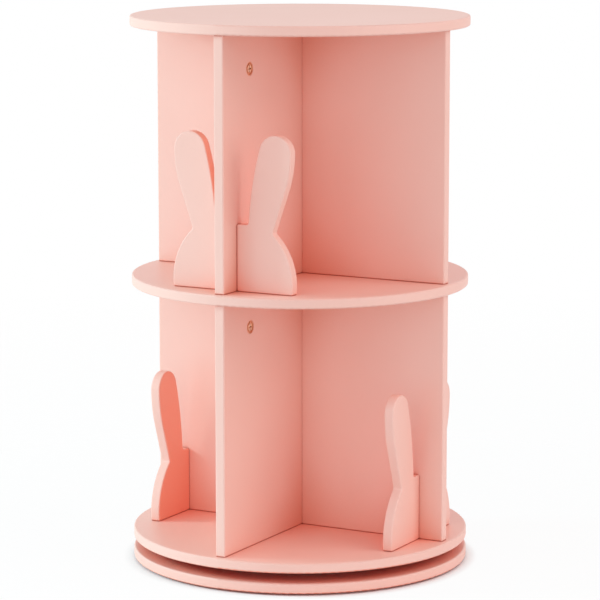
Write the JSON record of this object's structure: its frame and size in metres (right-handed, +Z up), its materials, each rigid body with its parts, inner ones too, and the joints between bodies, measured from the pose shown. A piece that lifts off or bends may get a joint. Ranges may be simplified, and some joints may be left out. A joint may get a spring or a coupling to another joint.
{
  "type": "revolving bookcase",
  "caption": "Round two-tier revolving bookcase of pink lacquered board, with crossed dividers, half-rabbit book stops and a carousel that turns on a ball-bearing base.",
  "frame": {"origin": "middle of the floor under the base, on the turning axis", "axes": "+Z up along the turning axis, -Y towards the front arm of the dividers, +X to the right"},
  "size_m": [0.4, 0.4, 0.65],
  "materials": {
    "lacquered_board": "smooth matte pink lacquer on fibreboard, edges rounded over",
    "copper_zinc": "copper-plated die-cast zinc",
    "steel": "zinc plated",
    "aluminium": "plain turned",
    "nylon": "moulded",
    "beech": "plain, with chamfered ends",
    "foot_rubber": "matte"
  },
  "bodies": {
    "base": {"base_board": "lacquered_board", "foot_pads": "foot_rubber", "bearing_outer_ring": "aluminium", "bearing_base_screws": "steel"},
    "ball_set": {"bearing_balls": "steel", "ball_cage": "nylon"},
    "carousel": {"bearing_inner_ring": "aluminium", "bearing_shelf_screws": "steel", "bottom_shelf": "lacquered_board", "middle_shelf": "lacquered_board", "top_board": "lacquered_board", "lower_divider_cross": "lacquered_board", "lower_divider_front": "lacquered_board", "upper_divider_cross": "lacquered_board", "upper_divider_front": "lacquered_board", "lower_stop_left_front": "lacquered_board", "lower_stop_left_back": "lacquered_board", "lower_stop_right_front": "lacquered_board", "lower_stop_right_back": "lacquered_board", "upper_stop_front_left": "lacquered_board", "upper_stop_front_right": "lacquered_board", "upper_stop_back_left": "lacquered_board", "upper_stop_back_right": "lacquered_board", "lower_cam_locks": "copper_zinc", "upper_cam_locks": "copper_zinc", "lower_cam_bolts": "steel", "upper_cam_bolts": "steel", "lower_dowels": "beech", "upper_dowels": "beech", "lower_stop_pins": "beech", "upper_stop_pins": "beech", "lower_divider_screws": "steel", "upper_divider_screws": "steel", "lower_stop_screws": "steel", "upper_stop_screws": "steel"}
  },
  "joints": [
    {"name": "turntable", "type": "hinge", "parent": "base", "child": "carousel", "pos_m": [0, 0, 0.02], "axis": [0, 0, 1], "continuous": true},
    {"name": "ball_orbit", "type": "hinge", "parent": "base", "child": "ball_set", "pos_m": [0, 0, 0.02], "axis": [0, 0, 1], "continuous": true}
  ],
  "couplings": [
    {"joint": "ball_orbit", "follows": "turntable", "ratio": 0.5}
  ]
}
